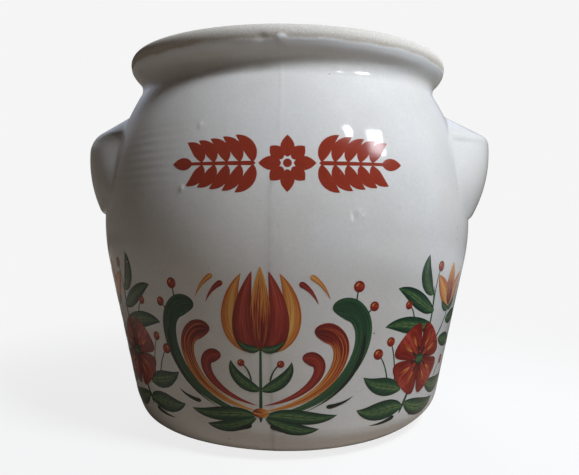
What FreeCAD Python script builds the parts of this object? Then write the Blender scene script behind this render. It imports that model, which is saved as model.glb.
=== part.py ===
import FreeCAD, Part
import math
import os
from types import SimpleNamespace

import Sketcher

# A stoneware storage jar: a turned body with a rolled lip, and two lugs luted to its shoulder.
# The jar stands on z = 0 with its axis on Z. The lugs lie along +X and -X, and -Y is the front.

# Driving dimensions in millimetres (the one slope is in degrees): alias, value, what it measures
DIMENSIONS = (
    ("height", 190.8, "foot to the top of the lip"),
    ("foot_radius", 64.2, "outer edge of the flat foot ring"),
    ("foot_width", 11.4, "width of the flat foot ring"),
    ("foot_recess", 2.0, "how far the underside is hollowed inside the foot ring"),
    ("corner_radius", 19.4, "rounding from the foot into the wall"),
    ("belly_radius", 99.4, "widest radius of the wall"),
    ("belly_height", 104.0, "height of the widest radius"),
    ("belly_curve", 107.0, "rounding of the wall below its widest radius"),
    ("neck_radius", 80.5, "narrowest outer radius under the lip"),
    ("neck_curve", 8.0, "rounding of the hollow under the lip"),
    ("lip_drop", 17.6, "how far the neck lies below the top of the lip"),
    ("lip_overhang", 6.3, "how far the lip stands out past the neck"),
    ("lip_bead", 4.8, "rounding of the lip's outer edge"),
    ("wall", 8.0, "thickness of the wall"),
    ("floor", 9.0, "thickness of the floor above the foot recess"),
    ("inner_corner", 18.0, "rounding from the floor into the inner wall"),
    ("mouth_round", 2.6, "rounding of the lip's inner edge"),
    ("throat_round", 6.0, "rounding under the mouth, inside"),
    ("lug_stand", 12.2, "how far a lug's tip stands out past the belly"),
    ("lug_sweep", 52.0, "plan radius of a lug's tip"),
    ("lug_fall", 32.2, "how far a lug's tip lies below the neck"),
    ("lug_depth", 35.5, "a lug's tip to its underside"),
    ("lug_slope", 31.3, "fall of a lug's roof, in degrees"),
    ("lug_tip", 11.7, "rounding between a lug's roof and its face"),
    ("lug_face_curve", 77.0, "rounding of a lug's face below its tip"),
    ("lug_heel", 3.0, "rounding between a lug's face and its underside"),
)

# The lugs' names, and their bearings in degrees from +X
LUGS = (("right_lug", 0), ("left_lug", 180))

# Places that more than one rule measures to, as sums of the driving dimensions
NECK_HEIGHT = ("height", "-lip_drop")
MOUTH_RADIUS = ("neck_radius", "-wall")
RING_INNER_RADIUS = ("foot_radius", "-foot_width")
FLOOR_HEIGHT = ("foot_recess", "floor")
LUG_REACH = ("belly_radius", "lug_stand")
LUG_HEIGHT = (*NECK_HEIGHT, "-lug_fall")

# The points of a sketch's curve
START, END, CENTRE = 1, 2, 3
# A sketch's own axes and origin, as the solver numbers them
X_AXIS, Y_AXIS = -1, -2
ORIGIN = (X_AXIS, START)

QUARTER = math.pi / 2


def make_sheet(doc):
    """The sheet that holds the driving dimensions, one aliased cell each."""
    sheet = doc.addObject("Spreadsheet::Sheet", "dimensions")
    for row, (alias, value, meaning) in enumerate(DIMENSIONS, start=1):
        sheet.set(f"A{row}", alias)
        sheet.set(f"B{row}", str(value))
        sheet.set(f"C{row}", meaning)
        sheet.setAlias(f"B{row}", alias)
    doc.recompute()
    return sheet


def read_sizes(sheet):
    return SimpleNamespace(**{alias: float(sheet.get(alias)) for alias, _, _ in DIMENSIONS})


def total(size, terms):
    """The sum of some of the sheet's sizes. A term with a minus is taken away."""
    return sum(-getattr(size, term[1:]) if term[0] == "-" else getattr(size, term) for term in terms)


def expression(terms):
    """The same sum, as the sheet's cells."""
    parts = [f"- dimensions.{term[1:]}" if term[0] == "-" else f"+ dimensions.{term}" for term in terms]
    return " ".join(parts).removeprefix("+ ")


def polar(centre, radius, angle):
    return (centre[0] + radius * math.cos(angle), centre[1] + radius * math.sin(angle))


def outer_arcs(size):
    """Centres and joining angles of the arcs that make the jar's outside, in (r, z)."""
    corner = (size.foot_radius, size.corner_radius)
    belly = (size.belly_radius - size.belly_curve, size.belly_height)
    across, up = belly[0] - corner[0], belly[1] - corner[1]
    lean = math.acos((size.corner_radius - size.belly_curve) / math.hypot(across, up))

    lip = (size.neck_radius + size.lip_overhang - size.lip_bead, size.height - size.lip_bead)
    neck = (size.neck_radius + size.neck_curve, total(size, NECK_HEIGHT))
    # The straight collar between the lip's bead and the neck's hollow touches both.
    collar_across, collar_up = lip[0] - neck[0], lip[1] - neck[1]
    collar_lean = math.acos(-(size.lip_bead + size.neck_curve) / math.hypot(collar_across, collar_up))
    # The shoulder touches the neck's hollow.
    inset, rise = size.belly_radius - neck[0], neck[1] - size.belly_height
    shoulder_curve = (inset**2 + rise**2 - size.neck_curve**2) / (2 * (size.neck_curve + inset))
    shoulder = (size.belly_radius - shoulder_curve, size.belly_height)
    return SimpleNamespace(
        corner=corner,
        cone_angle=math.atan2(up, across) - lean,
        belly=belly,
        shoulder=shoulder,
        shoulder_curve=shoulder_curve,
        shoulder_angle=math.atan2(neck[1] - shoulder[1], neck[0] - shoulder[0]),
        neck=neck,
        lip=lip,
        lip_angle=math.atan2(collar_up, collar_across) - collar_lean,
    )


def inner_arcs(size, outer):
    """The same for the jar's inside, which keeps one wall's thickness from the outside."""
    mouth_radius = total(size, MOUTH_RADIUS)
    belly_curve = size.belly_curve - size.wall
    shoulder_curve = outer.shoulder_curve - size.wall
    throat_x = mouth_radius + size.throat_round
    reach = shoulder_curve + size.throat_round
    throat_rise = math.sqrt(reach**2 - (throat_x - outer.shoulder[0]) ** 2)
    throat = (throat_x, outer.shoulder[1] + throat_rise)
    floor_height = total(size, FLOOR_HEIGHT)
    slant, fall = math.cos(outer.cone_angle), math.sin(outer.cone_angle)
    corner_z = floor_height + size.inner_corner
    offset = slant * outer.belly[0] + fall * outer.belly[1] + belly_curve - size.inner_corner
    return SimpleNamespace(
        mouth_radius=mouth_radius,
        belly_curve=belly_curve,
        shoulder_curve=shoulder_curve,
        throat=throat,
        throat_angle=math.pi + math.atan2(throat_rise, throat_x - outer.shoulder[0]),
        floor_height=floor_height,
        corner=((offset - fall * corner_z) / slant, corner_z),
    )


class Outline:
    """A sketch in its body's XZ plane, with sizes bound to the sheet."""

    def __init__(self, body, name, size):
        self.size = size
        self.sketch = body.newObject("Sketcher::SketchObject", name)
        planes = [plane for plane in body.Origin.OriginFeatures if plane.Role == "XZ_Plane"]
        self.sketch.AttachmentSupport = (planes[0], [""])
        self.sketch.MapMode = "FlatFace"

    def line(self, start, end, construction=False):
        segment = Part.LineSegment(FreeCAD.Vector(*start, 0), FreeCAD.Vector(*end, 0))
        return self.sketch.addGeometry(segment, construction)

    def arc(self, centre, radius, first, last):
        circle = Part.Circle(FreeCAD.Vector(*centre, 0), FreeCAD.Vector(0, 0, 1), radius)
        return self.sketch.addGeometry(Part.ArcOfCircle(circle, first, last), False)

    def rule(self, kind, *places):
        """A rule with no size, such as Horizontal."""
        return self.sketch.addConstraint(Sketcher.Constraint(kind, *places))

    def measure(self, kind, places, terms):
        """A rule with a size that follows the sheet."""
        index = self.rule(kind, *places, total(self.size, terms))
        self.sketch.setExpression(f"Constraints[{index}]", expression(terms))

    def across(self, curve, point, *terms):
        self.measure("DistanceX", (*ORIGIN, curve, point), terms)

    def up(self, curve, point, *terms):
        self.measure("DistanceY", (*ORIGIN, curve, point), terms)

    def radius(self, curve, *terms):
        self.measure("Radius", (curve,), terms)

    def rise_inwards(self, line, slope):
        """The slope, in degrees, of a line that runs inwards and up."""
        index = self.rule("Angle", line, math.pi - math.radians(total(self.size, [slope])))
        self.sketch.setExpression(f"Constraints[{index}]", f"180 - {expression([slope])}")

    def smooth(self, curve, point, other, other_point):
        self.rule("Tangent", curve, point, other, other_point)

    def join(self, curve, point, other, other_point):
        self.rule("Coincident", curve, point, other, other_point)


def draw_outside(outline, outer, foot_start):
    """The jar's outside, from foot_start along the foot to the top of the lip."""
    size = outline.size
    foot = outline.line((foot_start, 0), (size.foot_radius, 0))
    corner = outline.arc(outer.corner, size.corner_radius, -QUARTER, outer.cone_angle)
    cone = outline.line(
        polar(outer.corner, size.corner_radius, outer.cone_angle),
        polar(outer.belly, size.belly_curve, outer.cone_angle),
    )
    belly = outline.arc(outer.belly, size.belly_curve, outer.cone_angle, 0)
    shoulder = outline.arc(outer.shoulder, outer.shoulder_curve, 0, outer.shoulder_angle)
    collar_angle = math.pi + outer.lip_angle
    neck = outline.arc(outer.neck, size.neck_curve, collar_angle, math.pi + outer.shoulder_angle)
    collar = outline.line(
        polar(outer.neck, size.neck_curve, collar_angle),
        polar(outer.lip, size.lip_bead, outer.lip_angle),
    )
    lip = outline.arc(outer.lip, size.lip_bead, outer.lip_angle, QUARTER)
    waist = outline.line(outer.neck, (size.neck_radius, outer.neck[1]), construction=True)

    outline.rule("PointOnObject", foot, START, X_AXIS)
    outline.rule("Horizontal", foot)
    outline.across(foot, END, "foot_radius")
    outline.smooth(foot, END, corner, START)
    outline.radius(corner, "corner_radius")
    outline.smooth(corner, END, cone, START)
    outline.smooth(cone, END, belly, START)
    outline.radius(belly, "belly_curve")
    outline.across(belly, END, "belly_radius")
    outline.up(belly, END, "belly_height")
    outline.rule("Horizontal", belly, CENTRE, belly, END)
    outline.smooth(belly, END, shoulder, START)
    outline.smooth(shoulder, END, neck, END)
    outline.join(waist, START, neck, CENTRE)
    outline.rule("Horizontal", waist)
    outline.rule("PointOnObject", waist, END, neck)
    outline.across(waist, END, "neck_radius")
    outline.up(waist, END, *NECK_HEIGHT)
    outline.radius(neck, "neck_curve")
    outline.smooth(neck, START, collar, START)
    outline.smooth(collar, END, lip, START)
    outline.radius(lip, "lip_bead")
    outline.across(lip, END, "neck_radius", "lip_overhang", "-lip_bead")
    outline.up(lip, END, "height")
    outline.rule("Vertical", lip, CENTRE, lip, END)
    return SimpleNamespace(foot=foot, cone=cone, belly=belly, shoulder=shoulder, lip=lip)


def draw_inside(outline, outer, inner, outside):
    """The jar's inside, from the top of the lip down to the floor and out under the foot."""
    size = outline.size
    edge_centre = (inner.mouth_radius + size.mouth_round, size.height - size.mouth_round)
    ring_inner = total(size, RING_INNER_RADIUS)
    recess_end = (ring_inner - size.foot_recess, size.foot_recess)

    rim = outline.line((outer.lip[0], size.height), (edge_centre[0], size.height))
    edge = outline.arc(edge_centre, size.mouth_round, QUARTER, math.pi)
    mouth = outline.line((inner.mouth_radius, edge_centre[1]), (inner.mouth_radius, inner.throat[1]))
    throat = outline.arc(inner.throat, size.throat_round, math.pi, inner.throat_angle)
    shoulder = outline.arc(outer.shoulder, inner.shoulder_curve, 0, inner.throat_angle - math.pi)
    belly = outline.arc(outer.belly, inner.belly_curve, outer.cone_angle, 0)
    cone = outline.line(
        polar(inner.corner, size.inner_corner, outer.cone_angle),
        polar(outer.belly, inner.belly_curve, outer.cone_angle),
    )
    corner = outline.arc(inner.corner, size.inner_corner, -QUARTER, outer.cone_angle)
    floor = outline.line((inner.corner[0], inner.floor_height), (0, inner.floor_height))
    axis = outline.line((0, inner.floor_height), (0, size.foot_recess))
    recess = outline.line((0, size.foot_recess), recess_end)
    recess_wall = outline.line(recess_end, (ring_inner, 0))

    outline.smooth(outside.lip, END, rim, START)
    outline.smooth(rim, END, edge, START)
    outline.radius(edge, "mouth_round")
    outline.smooth(edge, END, mouth, START)
    outline.rule("Vertical", mouth)
    outline.across(mouth, START, *MOUTH_RADIUS)
    outline.smooth(mouth, END, throat, START)
    outline.radius(throat, "throat_round")
    outline.smooth(throat, END, shoulder, END)
    outline.join(shoulder, CENTRE, outside.shoulder, CENTRE)
    outline.join(belly, CENTRE, outside.belly, CENTRE)
    outline.join(shoulder, START, belly, END)
    outline.across(belly, END, "belly_radius", "-wall")
    outline.up(belly, END, "belly_height")
    outline.smooth(cone, END, belly, START)
    outline.rule("Parallel", cone, outside.cone)
    outline.smooth(corner, END, cone, START)
    outline.radius(corner, "inner_corner")
    outline.smooth(floor, START, corner, START)
    outline.rule("Horizontal", floor)
    outline.rule("PointOnObject", floor, END, Y_AXIS)
    outline.up(floor, END, *FLOOR_HEIGHT)
    outline.join(floor, END, axis, START)
    outline.rule("PointOnObject", axis, END, Y_AXIS)
    outline.up(axis, END, "foot_recess")
    outline.join(axis, END, recess, START)
    outline.rule("Horizontal", recess)
    outline.across(recess, END, *RING_INNER_RADIUS, "-foot_recess")
    outline.join(recess, END, recess_wall, START)
    outline.join(recess_wall, END, outside.foot, START)
    outline.across(outside.foot, START, *RING_INNER_RADIUS)


def turn(body, outline, axis="V_Axis"):
    """Turns an outline a full circle about one of its sketch's axes."""
    revolution = body.newObject("PartDesign::Revolution", body.Name + "_turned")
    revolution.Profile = outline.sketch
    revolution.ReferenceAxis = (outline.sketch, [axis])
    revolution.Angle = 360


def make_jar_body(doc, size):
    """The hollow jar: foot ring, wall, shoulder, neck and rolled lip."""
    body = doc.addObject("PartDesign::Body", "jar_body")
    outline = Outline(body, "wall_section", size)
    outer = outer_arcs(size)
    outside = draw_outside(outline, outer, total(size, RING_INNER_RADIUS))
    draw_inside(outline, outer, inner_arcs(size, outer), outside)
    turn(body, outline)
    return body


def make_jar_core(doc, size):
    """The jar's outside as a full solid, which gives each lug the face that it is luted by."""
    body = doc.addObject("PartDesign::Body", "jar_core")
    outline = Outline(body, "core_section", size)
    outer = outer_arcs(size)
    outside = draw_outside(outline, outer, 0)
    top = outline.line((outer.lip[0], size.height), (0, size.height))
    axis = outline.line((0, size.height), (0, 0))
    outline.rule("PointOnObject", outside.foot, START, Y_AXIS)
    outline.join(outside.lip, END, top, START)
    outline.rule("Horizontal", top)
    outline.rule("PointOnObject", top, END, Y_AXIS)
    outline.join(top, END, axis, START)
    outline.join(axis, END, outside.foot, START)
    turn(body, outline)
    return body


def draw_lug(outline):
    """A lug's section: a sloping roof, a rounded tip, a face that falls back, and a short underside."""
    size = outline.size
    root = total(size, MOUTH_RADIUS)
    reach = total(size, LUG_REACH)
    tip_z = total(size, LUG_HEIGHT)
    bottom = tip_z - size.lug_depth
    slope = math.radians(size.lug_slope)
    tip_centre = (reach - size.lug_tip, tip_z)
    face_centre = (reach - size.lug_face_curve, tip_z)
    heel_reach = size.lug_face_curve - size.lug_heel
    heel_angle = math.asin((size.lug_heel - size.lug_depth) / heel_reach)
    heel_centre = polar(face_centre, heel_reach, heel_angle)
    roof_start = polar(tip_centre, size.lug_tip, QUARTER - slope)
    roof_end = (root, roof_start[1] + (roof_start[0] - root) * math.tan(slope))
    pivot = reach - size.lug_sweep

    underside = outline.line((root, bottom), (heel_centre[0], bottom))
    heel = outline.arc(heel_centre, size.lug_heel, -QUARTER, heel_angle)
    face = outline.arc(face_centre, size.lug_face_curve, heel_angle, 0)
    tip = outline.arc(tip_centre, size.lug_tip, 0, QUARTER - slope)
    roof = outline.line(roof_start, roof_end)
    root_line = outline.line(roof_end, (root, bottom))
    turning = outline.line((pivot, 0), (pivot, size.height), construction=True)

    outline.rule("Horizontal", underside)
    outline.across(underside, START, *MOUTH_RADIUS)
    outline.up(underside, START, *LUG_HEIGHT, "-lug_depth")
    outline.smooth(underside, END, heel, START)
    outline.radius(heel, "lug_heel")
    outline.smooth(heel, END, face, START)
    outline.radius(face, "lug_face_curve")
    outline.across(face, END, *LUG_REACH)
    outline.up(face, END, *LUG_HEIGHT)
    outline.rule("Horizontal", face, CENTRE, face, END)
    outline.smooth(face, END, tip, START)
    outline.radius(tip, "lug_tip")
    outline.smooth(tip, END, roof, START)
    outline.rise_inwards(roof, "lug_slope")
    outline.join(roof, END, root_line, START)
    outline.rule("Vertical", root_line)
    outline.join(root_line, END, underside, START)
    outline.rule("Vertical", turning)
    outline.rule("PointOnObject", turning, START, X_AXIS)
    outline.across(turning, START, *LUG_REACH, "-lug_sweep")
    outline.up(turning, END, "height")


def make_lug(doc, size, core, name, bearing):
    """One lug, turned about its own upright axis and then cut to the jar's outside."""
    blank = doc.addObject("PartDesign::Body", name + "_blank")
    outline = Outline(blank, name + "_section", size)
    draw_lug(outline)
    turn(blank, outline, axis="Axis0")
    upright = FreeCAD.Vector(0, 0, 1)
    blank.Placement = FreeCAD.Placement(FreeCAD.Vector(), FreeCAD.Rotation(upright, bearing))
    lug = doc.addObject("Part::Cut", name)
    lug.Base = blank
    lug.Tool = core
    return lug


def check(doc, pieces):
    """Stops the script if an object failed or a piece is not one valid solid."""
    for item in doc.Objects:
        if {"Invalid", "Error"} & set(item.State):
            raise RuntimeError(f"{item.Name} failed: {item.State}")
    for piece in pieces:
        shape = piece.Shape
        if shape.isNull() or not shape.isValid() or len(shape.Solids) != 1:
            raise RuntimeError(f"{piece.Label} is not one valid solid")


def main():
    doc = FreeCAD.newDocument("canister")
    size = read_sizes(make_sheet(doc))
    jar_body = make_jar_body(doc, size)
    core = make_jar_core(doc, size)
    lugs = [make_lug(doc, size, core, name, bearing) for name, bearing in LUGS]
    doc.recompute()
    pieces = [jar_body, *lugs]
    check(doc, pieces)
    os.makedirs("parts", exist_ok=True)
    for piece in pieces:
        piece.Shape.exportStep(f"parts/{piece.Label}.step")


main()
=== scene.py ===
import math

import bpy
import numpy as np
from mathutils import Matrix, Vector


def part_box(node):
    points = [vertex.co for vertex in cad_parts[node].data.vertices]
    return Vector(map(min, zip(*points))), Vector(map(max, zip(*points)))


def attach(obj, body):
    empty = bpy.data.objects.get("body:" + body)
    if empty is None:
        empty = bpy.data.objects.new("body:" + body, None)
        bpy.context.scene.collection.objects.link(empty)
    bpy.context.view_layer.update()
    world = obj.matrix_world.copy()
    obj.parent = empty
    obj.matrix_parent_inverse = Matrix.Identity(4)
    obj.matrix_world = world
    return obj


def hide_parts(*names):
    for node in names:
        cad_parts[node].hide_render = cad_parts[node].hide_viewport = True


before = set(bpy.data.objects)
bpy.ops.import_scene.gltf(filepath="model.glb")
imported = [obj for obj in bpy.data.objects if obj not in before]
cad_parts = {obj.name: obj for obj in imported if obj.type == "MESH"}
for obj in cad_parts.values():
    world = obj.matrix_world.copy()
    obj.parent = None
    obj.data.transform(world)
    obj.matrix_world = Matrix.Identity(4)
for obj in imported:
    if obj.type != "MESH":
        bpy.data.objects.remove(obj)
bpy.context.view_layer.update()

# Lengths are in millimetres. Angles that are set are in degrees, phases and worked-out angles in radians.
# The jar's axis is Z. Azimuth 0 faces the camera (-Y), and positive azimuths turn towards +X.
MM = 0.001

# Jar section, with the overall sizes read from the frame
jar_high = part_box("jar_body")[1]
HEIGHT = jar_high.z / MM
BELLY_RADIUS = jar_high.x / MM
FOOT_RADIUS = 64.2
FOOT_WIDTH = 11.4
FOOT_RECESS = 2.0
CORNER_RADIUS = 19.4
BELLY_HEIGHT = 104.0
BELLY_CURVE = 107.0
NECK_RADIUS = 80.5
NECK_CURVE = 8.0
LIP_DROP = 17.6
LIP_OVERHANG = 6.3
LIP_BEAD = 4.8
WALL = 8.0
FLOOR = 9.0
INNER_CORNER = 18.0
MOUTH_ROUND = 2.6
THROAT_ROUND = 6.0

# Lugs. They were put on by hand, so each departs a little from the mean shape in the frame.
LUG_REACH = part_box("right_lug")[1].x / MM
LUG_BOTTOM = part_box("right_lug")[0].z / MM
LUG_DEPTH = 35.5
LUG_HEEL = 3.0
# Plan radius of a lug: at its top, how much it grows for each millimetre down, and where that begins
LUG_SWEEP = 44.0
LUG_SPREAD = 1.05
LUG_SPREAD_TOP = 145.0
# Bearing, shifts of the reach, the bottom and the tip, slope, rounding of the tip and of the face
RIGHT_LUG = (90, 1.4, -1.5, 4.0, 29.6, 6.0, 76.0)
LEFT_LUG = (-90, -1.0, 0.9, -0.4, 33.3, 12.1, 72.3)
# A lug's blend into the wall: least, greatest, and the heights above its bottom between which it grows
LUG_BLEND = (0.4, 2.4)
LUG_BLEND_RISE = (10.0, 44.0)
# Tuck of a lug's skin at the end of the blend, over the last share of it
LUG_TUCK = 0.04
LUG_TUCK_SHARE = 0.3
# Past the blend the skin sinks into the wall, by this for each millimetre as far as the reach.
LUG_SINK = 0.06
LUG_SINK_REACH = 6.0
# A lug's skin: spread to each side, mesh lines across, heights as (start, end, step), depth in the wall
LUG_SKIN_SPREAD = 58
LUG_SKIN_LINES = 150
LUG_SKIN_HEIGHTS = ((98.0, 115.0, 0.5), (115.0, 172.0, 0.8))
LUG_SKIN_DEPTH = 4.0

# The mould's two seams. Waves are (size, radians for each radian or millimetre, phase).
SEAM_AZIMUTHS = (-4.5, 175.5)
SEAM_HEIGHT = 0.07
SEAM_WIDTH = 1.1
SEAM_LEAN = 2.5
SEAM_LEAN_HEIGHTS = (112.0, 146.0)
SEAM_WANDER = ((0.5, 1 / 17.0, 0.0), (0.3, 1 / 6.1, 0.0))
SEAM_STRENGTH = 0.7
SEAM_STRENGTH_WAVES = ((0.3, 1 / 9.0, 1.0),)
# The seams gain in strength towards the neck, between two heights.
SEAM_NECK_GAIN = 0.5
SEAM_NECK_HEIGHTS = (135.0, 150.0)

# Edges of the glaze on the lip, in the mouth and at the foot, and the bare recess in the foot ring
GLAZE_EDGE = HEIGHT - 7.2
GLAZE_EDGE_WAVES = ((0.35, 3, 0.8), (0.22, 11, 0.0), (0.16, 29, 2.0))
GLAZE_FILM = 0.3
GLAZE_FILM_END = (0.7, -0.5)
INNER_GLAZE_EDGE = HEIGHT - MOUTH_ROUND - 1.0
FOOT_EDGE = 1.2
FOOT_EDGE_WAVES = ((0.3, 9, 0.0),)
RECESS_RADIUS = FOOT_RADIUS - FOOT_WIDTH - 1.0
# Bareness of plain clay and of plain glaze
BARE, GLAZED = 5.0, -50.0

# Hand shaping. The lip's rise to the left sets in between two heights and two radii.
LIP_TILT = 0.79
LIP_TILT_HEIGHTS = (150.0, 182.0)
LIP_TILT_RADII = (60.0, 72.0)
# Swell of the lip's underside: its middle below the rim, half width, rise
COLLAR_SWELL = (9.6, 2.4, 0.45)
# Sag of the foot's rounding: outwards all round, and more to the left than to the right
FOOT_SAG = (0.4, 1.1)
# Bands of heights, as (start, full from, full to, end)
FOOT_SAG_BAND = (0.0, 2.0, 4.0, 12.0)
RIPPLE_BAND = (116.0, 124.0, 142.0, 152.0)
RELIEF_BAND = (0.0, 6.0, HEIGHT - 3.0, HEIGHT)
# Ripples of the turning. Their place is where they are plainest: azimuth, half width.
RIPPLE_HEIGHT = 0.03
RIPPLE_PITCH = 3.9
RIPPLE_PLACE = (-42, 15)
RIPPLE_ELSEWHERE = 0.05
# Slow waves of the wall: size, waves in a turn, phase, height over which they shift by a radian
WALL_WAVES = ((0.20, 2, 0.6, 70), (0.12, 3, -1.1, 45), (0.06, 7, 0.0, 26))
WALL_BEAT = 0.035

# Mounds and hollows in the glaze: azimuth, height above the foot, half width, half height, relief
LIP_DENT = (-7.6, GLAZE_EDGE + 0.6, 2.6, 1.7, -0.5)
GLAZE_BLOB = (-2.0, GLAZE_EDGE, 2.2, 1.6, 0.35)
# The glaze's edge creeps up at the blob: half width in degrees, rise
GLAZE_CREEP = (1.5, 1.5)
# Pimples in the glaze: azimuth, height above the foot, radius, relief
PIMPLES = (
    (-23.7, 146.4, 1.5, 0.35),
    (-26.9, 119.3, 1.3, 0.45),
    (17.0, 109.6, 1.8, 0.30),
    (18.5, 108.2, 1.0, 0.20),
    (29.1, 112.4, 1.2, 0.30),
    (-49.0, 86.0, 1.2, 0.35),
    (62.0, 120.0, 1.2, 0.30),
)

# Steps between the jar's upright mesh lines, all round and within reach of a seam, and lines on a pimple
AZIMUTH_STEP = 1.2
SEAM_STEP = 0.25
SEAM_STEP_REACH = 4.0
PIMPLE_LINES = 0.9 * np.linspace(-1, 1, 7)

# Camera, matched to the photograph's frame
IMAGE_WIDTH, IMAGE_HEIGHT = 579, 475
FOCAL_PX = 577.6
AXIS_PX = 287.3
HORIZON_PX = 203.4
CAMERA_DISTANCE = 332.3
CAMERA_HEIGHT = 113.1
CAMERA_ROLL = 0.2
SENSOR_WIDTH = 36.0
NEAR_CLIP = 10.0


# Geometry helpers


def smoothstep(low, high, value):
    t = np.clip((value - low) / (high - low), 0.0, 1.0)
    return t * t * (3 - 2 * t)


def band(z, start, full, falling, end):
    """1 in a band of heights, with a soft step at each side of it."""
    return smoothstep(start, full, z) * (1 - smoothstep(falling, end, z))


def bell(offset, half_width):
    return np.exp(-((offset / half_width) ** 2))


def half_chord(radius, distance):
    """Half a circle's chord at a distance from its centre, and 0 past the circle."""
    return np.sqrt(np.maximum(radius**2 - distance**2, 0))


def waves(parts, value):
    return sum(size * np.sin(rate * value + phase) for size, rate, phase in parts)


def arc(centre, radius, start, end, step):
    """Points along an arc, in (r, z), at most step apart."""
    count = max(3, math.ceil(abs(end - start) * radius / step) + 1)
    angles = np.linspace(start, end, count)
    return np.column_stack((centre[0] + radius * np.cos(angles), centre[1] + radius * np.sin(angles)))


def line(start, end, step):
    count = max(2, math.ceil(math.dist(start, end) / step) + 1)
    return np.linspace(start, end, count)


def chain(*stretches):
    """Joins stretches of a section end to end, without the doubled points."""
    return np.vstack([stretches[0], *[stretch[1:] for stretch in stretches[1:]]])


# The jar's section, in arcs and lines that touch each other


def towards(start, end):
    return math.atan2(end[1] - start[1], end[0] - start[0])


def facing(start, start_radius, end, end_radius):
    """The angle that a line faces which touches two arcs. A hollow arc has a negative radius."""
    return towards(start, end) - math.acos((start_radius - end_radius) / math.dist(start, end))


def touching_radius(inset, rise, other_radius):
    """Radius of an arc that ends upright and touches another, whose centre is inset and rise away."""
    return (inset**2 + rise**2 - other_radius**2) / (2 * (other_radius + inset))


QUARTER = math.pi / 2
corner_centre = (FOOT_RADIUS, CORNER_RADIUS)
belly_centre = (BELLY_RADIUS - BELLY_CURVE, BELLY_HEIGHT)
neck_centre = (NECK_RADIUS + NECK_CURVE, HEIGHT - LIP_DROP)
lip_centre = (NECK_RADIUS + LIP_OVERHANG - LIP_BEAD, HEIGHT - LIP_BEAD)
CONE_ANGLE = facing(corner_centre, CORNER_RADIUS, belly_centre, BELLY_CURVE)
COLLAR_ANGLE = facing(neck_centre, -NECK_CURVE, lip_centre, LIP_BEAD)
SHOULDER_CURVE = touching_radius(BELLY_RADIUS - neck_centre[0], neck_centre[1] - BELLY_HEIGHT, NECK_CURVE)
shoulder_centre = (BELLY_RADIUS - SHOULDER_CURVE, BELLY_HEIGHT)


def outer_section(step=1.0, fine=0.6):
    """The jar's outside, from the edge of the foot ring to the top of the lip."""
    shoulder_angle = towards(shoulder_centre, neck_centre)
    corner = arc(corner_centre, CORNER_RADIUS, -QUARTER, CONE_ANGLE, step)
    belly = arc(belly_centre, BELLY_CURVE, CONE_ANGLE, 0, step)
    shoulder = arc(shoulder_centre, SHOULDER_CURVE, 0, shoulder_angle, step)
    neck = arc(neck_centre, NECK_CURVE, math.pi + shoulder_angle, math.pi + COLLAR_ANGLE, fine)
    lip = arc(lip_centre, LIP_BEAD, COLLAR_ANGLE, QUARTER, fine)
    cone, collar = line(corner[-1], belly[0], step), line(neck[-1], lip[0], fine)
    return chain(corner, cone, belly, shoulder, neck, collar, lip)


def inner_section(step=2.5, fine=0.8):
    """The jar's inside, from the top of the lip to the middle of the floor."""
    mouth_radius = NECK_RADIUS - WALL
    edge_centre = (mouth_radius + MOUTH_ROUND, HEIGHT - MOUTH_ROUND)
    shoulder_curve = SHOULDER_CURVE - WALL
    throat_x = mouth_radius + THROAT_ROUND
    rise = math.sqrt((shoulder_curve + THROAT_ROUND) ** 2 - (throat_x - shoulder_centre[0]) ** 2)
    throat_centre = (throat_x, shoulder_centre[1] + rise)
    throat_angle = towards(shoulder_centre, throat_centre)
    belly_curve = BELLY_CURVE - WALL
    corner_z = FOOT_RECESS + FLOOR + INNER_CORNER
    slant, fall = math.cos(CONE_ANGLE), math.sin(CONE_ANGLE)
    offset = slant * belly_centre[0] + fall * belly_centre[1] + belly_curve - INNER_CORNER
    inner_corner_centre = ((offset - fall * corner_z) / slant, corner_z)
    edge = arc(edge_centre, MOUTH_ROUND, QUARTER, math.pi, fine)
    throat = arc(throat_centre, THROAT_ROUND, math.pi, math.pi + throat_angle, fine)
    shoulder = arc(shoulder_centre, shoulder_curve, throat_angle, 0, step)
    belly = arc(belly_centre, belly_curve, 0, CONE_ANGLE, step)
    corner = arc(inner_corner_centre, INNER_CORNER, CONE_ANGLE, -QUARTER, step)
    top = line((lip_centre[0], HEIGHT), edge[0], fine)
    mouth = line(edge[-1], throat[0], step)
    cone = line(belly[-1], corner[0], step)
    floor = line(corner[-1], (0.0, FOOT_RECESS + FLOOR), 2 * step)
    return chain(top, edge, mouth, throat, shoulder, belly, cone, corner, floor)


def under_section(step=3.0):
    """The jar's underside, from the middle of the recess to the outer edge of the foot ring."""
    ring_inner = FOOT_RADIUS - FOOT_WIDTH
    recess_end = (ring_inner - FOOT_RECESS, FOOT_RECESS)
    return chain(
        line((0.0, FOOT_RECESS), recess_end, 2 * step),
        line(recess_end, (ring_inner, 0.0), FOOT_RECESS),
        line((ring_inner, 0.0), (FOOT_RADIUS, 0.0), step),
    )


OUTSIDE = outer_section()


def wall_radius(z):
    """The jar's outer radius at a height."""
    return np.interp(z, OUTSIDE[:, 1], OUTSIDE[:, 0])


# Relief of the outside, in millimetres out of the turned surface


def azimuth_gap(azimuth, centre):
    """Signed difference of two azimuths in radians, the short way round."""
    return (azimuth - centre + math.pi) % math.tau - math.pi


def mound(azimuth, z, centre, middle, half_width, half_height, rise):
    """A soft mound round an azimuth and a height. It is a hollow where its rise is negative."""
    gap = azimuth_gap(azimuth, math.radians(centre)) * wall_radius(z)
    return rise * bell(gap, half_width) * bell(z - middle, half_height)


def glaze_edge(azimuth):
    """Height of the glaze's uneven edge on the lip. It creeps up at the blob beside the front seam."""
    half_width, rise = GLAZE_CREEP
    creep = azimuth_gap(azimuth, math.radians(GLAZE_BLOB[0])) / math.radians(half_width)
    return GLAZE_EDGE + waves(GLAZE_EDGE_WAVES, azimuth) + rise * np.exp(-(creep**4))


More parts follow.
